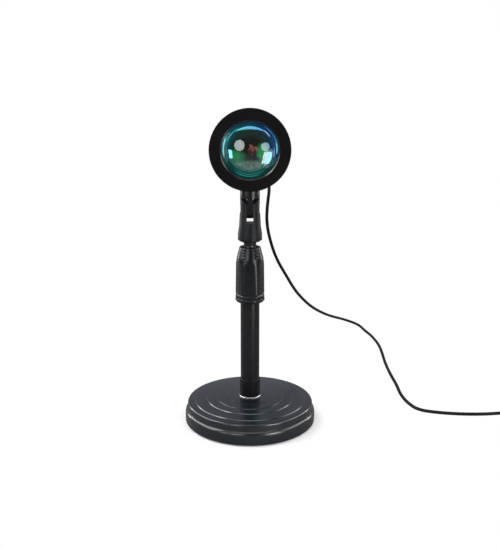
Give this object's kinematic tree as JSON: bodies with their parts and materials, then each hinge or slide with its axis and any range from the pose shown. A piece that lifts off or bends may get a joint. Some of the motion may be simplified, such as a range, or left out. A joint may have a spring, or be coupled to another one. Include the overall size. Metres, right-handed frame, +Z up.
{
  "type": "sunset projection lamp",
  "caption": "Table lamp with a drum head and domed colour lens on a tilting joint, a telescopic column with a twist clutch, a stepped round base and a lead with a plug.",
  "frame": {"origin": "middle of the base's underside, on the surface the lamp stands on", "axes": "+Z up along the column, -Y the way the lens faces, +X to the lamp's left as it shines and to the right of the picture"},
  "size_m": [0.4042, 0.3914, 0.3241],
  "materials": {
    "satin_black": "satin black powder coat on steel",
    "matte_black": "aluminium with a fine matte black coat",
    "grip_black": "satin black coat with soft bright streaks",
    "dark_collar": "dark semi-gloss black coat",
    "dark_steel": "blackened steel, satin",
    "anodised_black": "black anodised aluminium",
    "cast_iron": "raw casting",
    "pad_rubber": "flat black rubber",
    "seal_rubber": "black silicone",
    "zinc_steel": "zinc-plated steel",
    "black_screw": "black oxide steel",
    "brass": "turned brass",
    "nylon": "natural nylon",
    "ring_grey": "grey metal ring, satin",
    "lens_glass": "clear polished glass",
    "dichroic_glass": "dichroic coating, cyan to amber",
    "barrel_black": "black anti-glare finish",
    "mirror_coat": "vacuum-plated reflector",
    "board_white": "white solder mask on aluminium",
    "board_green": "green circuit board",
    "phosphor": "yellow phosphor under clear silicone",
    "cord_black": "matte black soft jacket",
    "plug_nickel": "nickel-plated steel",
    "plug_white": "white contact block"
  },
  "bodies": {
    "base": {"base_cover": "satin_black", "base_weight": "cast_iron", "base_pad": "pad_rubber", "base_washer": "zinc_steel", "base_bolt": "zinc_steel", "column_tube": "satin_black", "column_plug": "zinc_steel", "column_collar": "dark_collar", "clutch_ring": "dark_collar", "clutch_sleeve": "brass", "clutch_collet": "nylon", "cord_drop": "cord_black", "cord_floor": "cord_black", "cord_coil": "cord_black", "plug_relief": "cord_black", "plug_body": "cord_black", "plug_shell": "plug_nickel", "plug_tongue": "plug_white"},
    "clutch": {"clutch_grip": "grip_black"},
    "mast": {"inner_tube": "dark_steel", "slide_bush": "nylon", "thread_stud": "dark_steel"},
    "swivel": {"swivel_housing": "dark_steel", "thread_insert": "brass", "pivot_screw": "black_screw", "pivot_nut": "black_screw", "friction_washers": "nylon"},
    "head": {"neck_bracket": "dark_steel", "neck_screws": "zinc_steel", "front_bezel": "matte_black", "lens_ring": "ring_grey", "lens": "lens_glass", "lens_seal": "seal_rubber", "dichroic_filter": "dichroic_glass", "lens_barrel": "barrel_black", "reflector_cup": "mirror_coat", "led_board": "board_white", "led_chip": "phosphor", "lamp_housing": "matte_black", "heat_sink": "anodised_black", "driver_board": "board_green", "rear_cap": "matte_black", "cap_screws": "black_screw", "strain_relief": "cord_black"}
  },
  "joints": [
    {"name": "clutch_turn", "type": "hinge", "parent": "base", "child": "clutch", "pos_m": [0, 0, 0.16], "axis": [0, 0, 1], "range_deg": [0, 150]},
    {"name": "mast_slide", "type": "slide", "parent": "base", "child": "mast", "axis": [0, 0, 1], "range_m": [-0.005, 0.095], "deforming": ["cord_drop"]},
    {"name": "swivel_turn", "type": "hinge", "parent": "mast", "child": "swivel", "pos_m": [0, 0, 0.2], "axis": [0, 0, 1], "range_deg": [-90, 90], "deforming": ["cord_drop"]},
    {"name": "head_tilt", "type": "hinge", "parent": "swivel", "child": "head", "pos_m": [0, 0, 0.2243], "axis": [-1, 0, 0], "range_deg": [-90, 90], "deforming": ["cord_drop"]}
  ]
}
